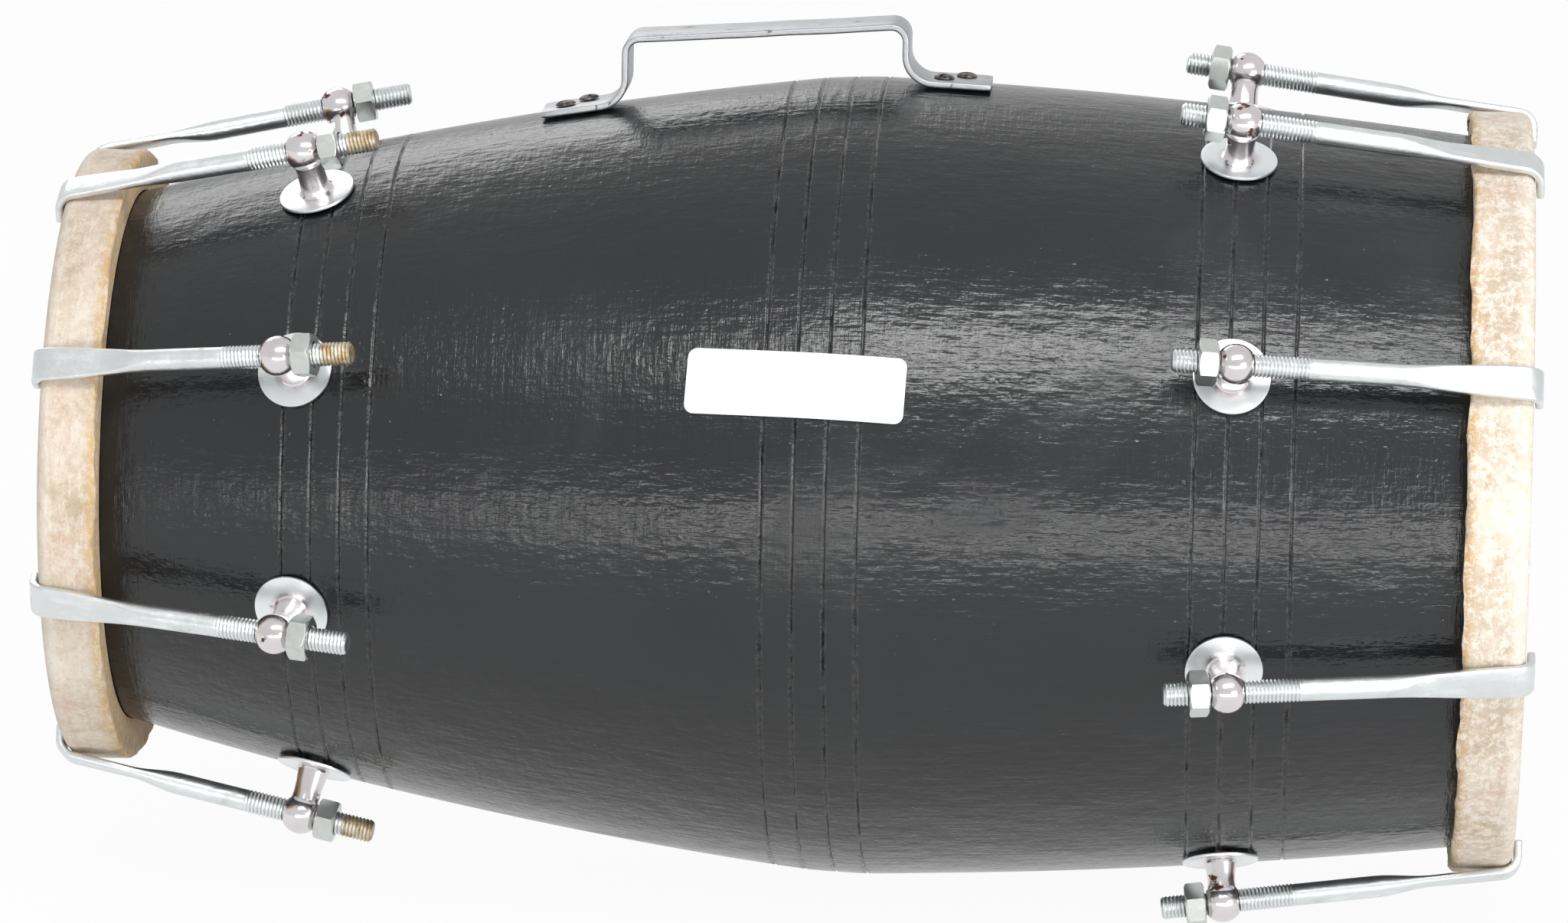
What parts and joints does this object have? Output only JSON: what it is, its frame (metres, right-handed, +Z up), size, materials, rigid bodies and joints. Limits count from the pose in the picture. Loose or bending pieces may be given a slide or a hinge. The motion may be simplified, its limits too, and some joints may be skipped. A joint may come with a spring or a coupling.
{
  "type": "dholak",
  "caption": "Two-headed barrel hand drum lying on its side, with hook bolts and nuts that tension its rawhide heads, and a strip handle on top.",
  "frame": {"origin": "under the middle of the drum, at the lowest point of the drum lying with its axis level", "axes": "+X along the drum's axis from the small treble head to the large bass head, +Z up through the handle"},
  "size_m": [0.4858, 0.2882, 0.2906],
  "materials": {
    "black_lacquer": "gloss black lacquer over turned wood",
    "rawhide": "matte, mottled rawhide",
    "cane": "bare cane",
    "tuning_paste": "matte dark paste",
    "polished_zinc": "polished, with rust spots",
    "satin_zinc": "satin zinc plating",
    "nut_steel": "plated steel",
    "dull_steel": "dull, scratched steel strip",
    "dark_steel": "blackened steel",
    "white_plate": "smooth white plate, bare"
  },
  "bodies": {
    "drum": {"bass_hoop": "cane", "bass_paste": "tuning_paste", "bass_post_1": "polished_zinc", "bass_post_2": "polished_zinc", "bass_post_3": "polished_zinc", "bass_post_4": "polished_zinc", "bass_post_5": "polished_zinc", "bass_post_6": "polished_zinc", "bass_post_7": "polished_zinc", "bass_post_8": "polished_zinc", "bass_skin": "rawhide", "handle_screw_1": "dark_steel", "handle_screw_2": "dark_steel", "handle_screw_3": "dark_steel", "handle_screw_4": "dark_steel", "handle_strap": "dull_steel", "label_plate": "white_plate", "shell": "black_lacquer", "treble_hoop": "cane", "treble_post_1": "polished_zinc", "treble_post_2": "polished_zinc", "treble_post_3": "polished_zinc", "treble_post_4": "polished_zinc", "treble_post_5": "polished_zinc", "treble_post_6": "polished_zinc", "treble_post_7": "polished_zinc", "treble_post_8": "polished_zinc", "treble_skin": "rawhide"},
    "treble_hook_body_1": {"treble_hook_1": "satin_zinc"},
    "treble_nut_body_1": {"treble_nut_1": "nut_steel"},
    "treble_hook_body_2": {"treble_hook_2": "satin_zinc"},
    "treble_nut_body_2": {"treble_nut_2": "nut_steel"},
    "treble_hook_body_3": {"treble_hook_3": "satin_zinc"},
    "treble_nut_body_3": {"treble_nut_3": "nut_steel"},
    "treble_hook_body_4": {"treble_hook_4": "satin_zinc"},
    "treble_nut_body_4": {"treble_nut_4": "nut_steel"},
    "treble_hook_body_5": {"treble_hook_5": "satin_zinc"},
    "treble_nut_body_5": {"treble_nut_5": "nut_steel"},
    "treble_hook_body_6": {"treble_hook_6": "satin_zinc"},
    "treble_nut_body_6": {"treble_nut_6": "nut_steel"},
    "treble_hook_body_7": {"treble_hook_7": "satin_zinc"},
    "treble_nut_body_7": {"treble_nut_7": "nut_steel"},
    "treble_hook_body_8": {"treble_hook_8": "satin_zinc"},
    "treble_nut_body_8": {"treble_nut_8": "nut_steel"},
    "bass_hook_body_1": {"bass_hook_1": "satin_zinc"},
    "bass_nut_body_1": {"bass_nut_1": "nut_steel"},
    "bass_hook_body_2": {"bass_hook_2": "satin_zinc"},
    "bass_nut_body_2": {"bass_nut_2": "nut_steel"},
    "bass_hook_body_3": {"bass_hook_3": "satin_zinc"},
    "bass_nut_body_3": {"bass_nut_3": "nut_steel"},
    "bass_hook_body_4": {"bass_hook_4": "satin_zinc"},
    "bass_nut_body_4": {"bass_nut_4": "nut_steel"},
    "bass_hook_body_5": {"bass_hook_5": "satin_zinc"},
    "bass_nut_body_5": {"bass_nut_5": "nut_steel"},
    "bass_hook_body_6": {"bass_hook_6": "satin_zinc"},
    "bass_nut_body_6": {"bass_nut_6": "nut_steel"},
    "bass_hook_body_7": {"bass_hook_7": "satin_zinc"},
    "bass_nut_body_7": {"bass_nut_7": "nut_steel"},
    "bass_hook_body_8": {"bass_hook_8": "satin_zinc"},
    "bass_nut_body_8": {"bass_nut_8": "nut_steel"}
  },
  "joints": [
    {"name": "treble_nut_1_turn", "type": "hinge", "parent": "drum", "child": "treble_nut_body_1", "pos_m": [-0.16028, 0.04437, 0.24975], "axis": [0.9775, 0.0773, 0.1963], "range_deg": [0, 2880]},
    {"name": "treble_hook_1_slide", "type": "slide", "parent": "drum", "child": "treble_hook_body_1", "axis": [-0.9775, -0.0773, -0.1963], "range_m": [0, 0.01]},
    {"name": "treble_nut_2_turn", "type": "hinge", "parent": "drum", "child": "treble_nut_body_2", "pos_m": [-0.16028, -0.04521, 0.24936], "axis": [0.9775, -0.079, 0.1956], "range_deg": [0, 2880]},
    {"name": "treble_hook_2_slide", "type": "slide", "parent": "drum", "child": "treble_hook_body_2", "axis": [-0.9775, 0.079, -0.1956], "range_m": [0, 0.01]},
    {"name": "treble_nut_3_turn", "type": "hinge", "parent": "drum", "child": "treble_nut_body_3", "pos_m": [-0.16028, -0.10714, 0.1931], "axis": [0.9775, -0.1871, 0.0974], "range_deg": [0, 2880]},
    {"name": "treble_hook_3_slide", "type": "slide", "parent": "drum", "child": "treble_hook_body_3", "axis": [-0.9775, 0.1871, -0.0974], "range_m": [0, 0.01]},
    {"name": "treble_nut_4_turn", "type": "hinge", "parent": "drum", "child": "treble_nut_body_4", "pos_m": [-0.16028, -0.11612, 0.10396], "axis": [0.9775, -0.2028, -0.0582], "range_deg": [0, 2880]},
    {"name": "treble_hook_4_slide", "type": "slide", "parent": "drum", "child": "treble_hook_body_4", "axis": [-0.9775, 0.2028, 0.0582], "range_m": [0, 0.01]},
    {"name": "treble_nut_5_turn", "type": "hinge", "parent": "drum", "child": "treble_nut_body_5", "pos_m": [-0.16028, -0.05101, 0.02773], "axis": [0.9775, -0.0892, -0.1912], "range_deg": [0, 2880]},
    {"name": "treble_hook_5_slide", "type": "slide", "parent": "drum", "child": "treble_hook_body_5", "axis": [-0.9775, 0.0892, 0.1912], "range_m": [0, 0.01]},
    {"name": "treble_nut_6_turn", "type": "hinge", "parent": "drum", "child": "treble_nut_body_6", "pos_m": [-0.16028, 0.04827, 0.02643], "axis": [0.9775, 0.0841, -0.1935], "range_deg": [0, 2880]},
    {"name": "treble_hook_6_slide", "type": "slide", "parent": "drum", "child": "treble_hook_body_6", "axis": [-0.9775, -0.0841, 0.1935], "range_m": [0, 0.01]},
    {"name": "treble_nut_7_turn", "type": "hinge", "parent": "drum", "child": "treble_nut_body_7", "pos_m": [-0.16028, 0.11627, 0.10396], "axis": [0.9775, 0.2028, -0.0582], "range_deg": [0, 2880]},
    {"name": "treble_hook_7_slide", "type": "slide", "parent": "drum", "child": "treble_hook_body_7", "axis": [-0.9775, -0.2028, 0.0582], "range_m": [0, 0.01]},
    {"name": "treble_nut_8_turn", "type": "hinge", "parent": "drum", "child": "treble_nut_body_8", "pos_m": [-0.16028, 0.10729, 0.1931], "axis": [0.9775, 0.1871, 0.0974], "range_deg": [0, 2880]},
    {"name": "treble_hook_8_slide", "type": "slide", "parent": "drum", "child": "treble_hook_body_8", "axis": [-0.9775, -0.1871, -0.0974], "range_m": [0, 0.01]},
    {"name": "bass_nut_1_turn", "type": "hinge", "parent": "drum", "child": "bass_nut_body_1", "pos_m": [0.14557, 0.05162, 0.26814], "axis": [-0.9909, 0.0493, 0.1253], "range_deg": [0, 1800]},
    {"name": "bass_hook_1_slide", "type": "slide", "parent": "drum", "child": "bass_hook_body_1", "axis": [0.9909, -0.0493, -0.1253], "range_m": [0, 0.00625]},
    {"name": "bass_nut_2_turn", "type": "hinge", "parent": "drum", "child": "bass_nut_body_2", "pos_m": [0.14557, -0.05261, 0.26768], "axis": [-0.9909, -0.0504, 0.1248], "range_deg": [0, 1800]},
    {"name": "bass_hook_2_slide", "type": "slide", "parent": "drum", "child": "bass_hook_body_2", "axis": [0.9909, 0.0504, -0.1248], "range_m": [0, 0.00625]},
    {"name": "bass_nut_3_turn", "type": "hinge", "parent": "drum", "child": "bass_nut_body_3", "pos_m": [0.14557, -0.12468, 0.20222], "axis": [-0.9909, -0.1194, 0.0622], "range_deg": [0, 1800]},
    {"name": "bass_hook_3_slide", "type": "slide", "parent": "drum", "child": "bass_hook_body_3", "axis": [0.9909, 0.1194, -0.0622], "range_m": [0, 0.00625]},
    {"name": "bass_nut_4_turn", "type": "hinge", "parent": "drum", "child": "bass_nut_body_4", "pos_m": [0.14557, -0.13512, 0.09852], "axis": [-0.9909, -0.1294, -0.0371], "range_deg": [0, 1800]},
    {"name": "bass_hook_4_slide", "type": "slide", "parent": "drum", "child": "bass_hook_body_4", "axis": [0.9909, 0.1294, 0.0371], "range_m": [0, 0.00625]},
    {"name": "bass_nut_5_turn", "type": "hinge", "parent": "drum", "child": "bass_nut_body_5", "pos_m": [0.14557, -0.05936, 0.00982], "axis": [-0.9909, -0.0569, -0.122], "range_deg": [0, 1800]},
    {"name": "bass_hook_5_slide", "type": "slide", "parent": "drum", "child": "bass_hook_body_5", "axis": [0.9909, 0.0569, 0.122], "range_m": [0, 0.00625]},
    {"name": "bass_nut_6_turn", "type": "hinge", "parent": "drum", "child": "bass_nut_body_6", "pos_m": [0.14557, 0.05615, 0.00831], "axis": [-0.9909, 0.0537, -0.1235], "range_deg": [0, 1800]},
    {"name": "bass_hook_6_slide", "type": "slide", "parent": "drum", "child": "bass_hook_body_6", "axis": [0.9909, -0.0537, 0.1235], "range_m": [0, 0.00625]},
    {"name": "bass_nut_7_turn", "type": "hinge", "parent": "drum", "child": "bass_nut_body_7", "pos_m": [0.14557, 0.13527, 0.09852], "axis": [-0.9909, 0.1294, -0.0371], "range_deg": [0, 1800]},
    {"name": "bass_hook_7_slide", "type": "slide", "parent": "drum", "child": "bass_hook_body_7", "axis": [0.9909, -0.1294, 0.0371], "range_m": [0, 0.00625]},
    {"name": "bass_nut_8_turn", "type": "hinge", "parent": "drum", "child": "bass_nut_body_8", "pos_m": [0.14557, 0.12482, 0.20222], "axis": [-0.9909, 0.1194, 0.0622], "range_deg": [0, 1800]},
    {"name": "bass_hook_8_slide", "type": "slide", "parent": "drum", "child": "bass_hook_body_8", "axis": [0.9909, -0.1194, -0.0622], "range_m": [0, 0.00625]}
  ],
  "couplings": [
    {"joint": "treble_nut_1_turn", "follows": "treble_hook_1_slide", "rad_per_m": 5026.5},
    {"joint": "treble_nut_2_turn", "follows": "treble_hook_2_slide", "rad_per_m": 5026.5},
    {"joint": "treble_nut_3_turn", "follows": "treble_hook_3_slide", "rad_per_m": 5026.5},
    {"joint": "treble_nut_4_turn", "follows": "treble_hook_4_slide", "rad_per_m": 5026.5},
    {"joint": "treble_nut_5_turn", "follows": "treble_hook_5_slide", "rad_per_m": 5026.5},
    {"joint": "treble_nut_6_turn", "follows": "treble_hook_6_slide", "rad_per_m": 5026.5},
    {"joint": "treble_nut_7_turn", "follows": "treble_hook_7_slide", "rad_per_m": 5026.5},
    {"joint": "treble_nut_8_turn", "follows": "treble_hook_8_slide", "rad_per_m": 5026.5},
    {"joint": "bass_nut_1_turn", "follows": "bass_hook_1_slide", "rad_per_m": 5026.5},
    {"joint": "bass_nut_2_turn", "follows": "bass_hook_2_slide", "rad_per_m": 5026.5},
    {"joint": "bass_nut_3_turn", "follows": "bass_hook_3_slide", "rad_per_m": 5026.5},
    {"joint": "bass_nut_4_turn", "follows": "bass_hook_4_slide", "rad_per_m": 5026.5},
    {"joint": "bass_nut_5_turn", "follows": "bass_hook_5_slide", "rad_per_m": 5026.5},
    {"joint": "bass_nut_6_turn", "follows": "bass_hook_6_slide", "rad_per_m": 5026.5},
    {"joint": "bass_nut_7_turn", "follows": "bass_hook_7_slide", "rad_per_m": 5026.5},
    {"joint": "bass_nut_8_turn", "follows": "bass_hook_8_slide", "rad_per_m": 5026.5}
  ]
}
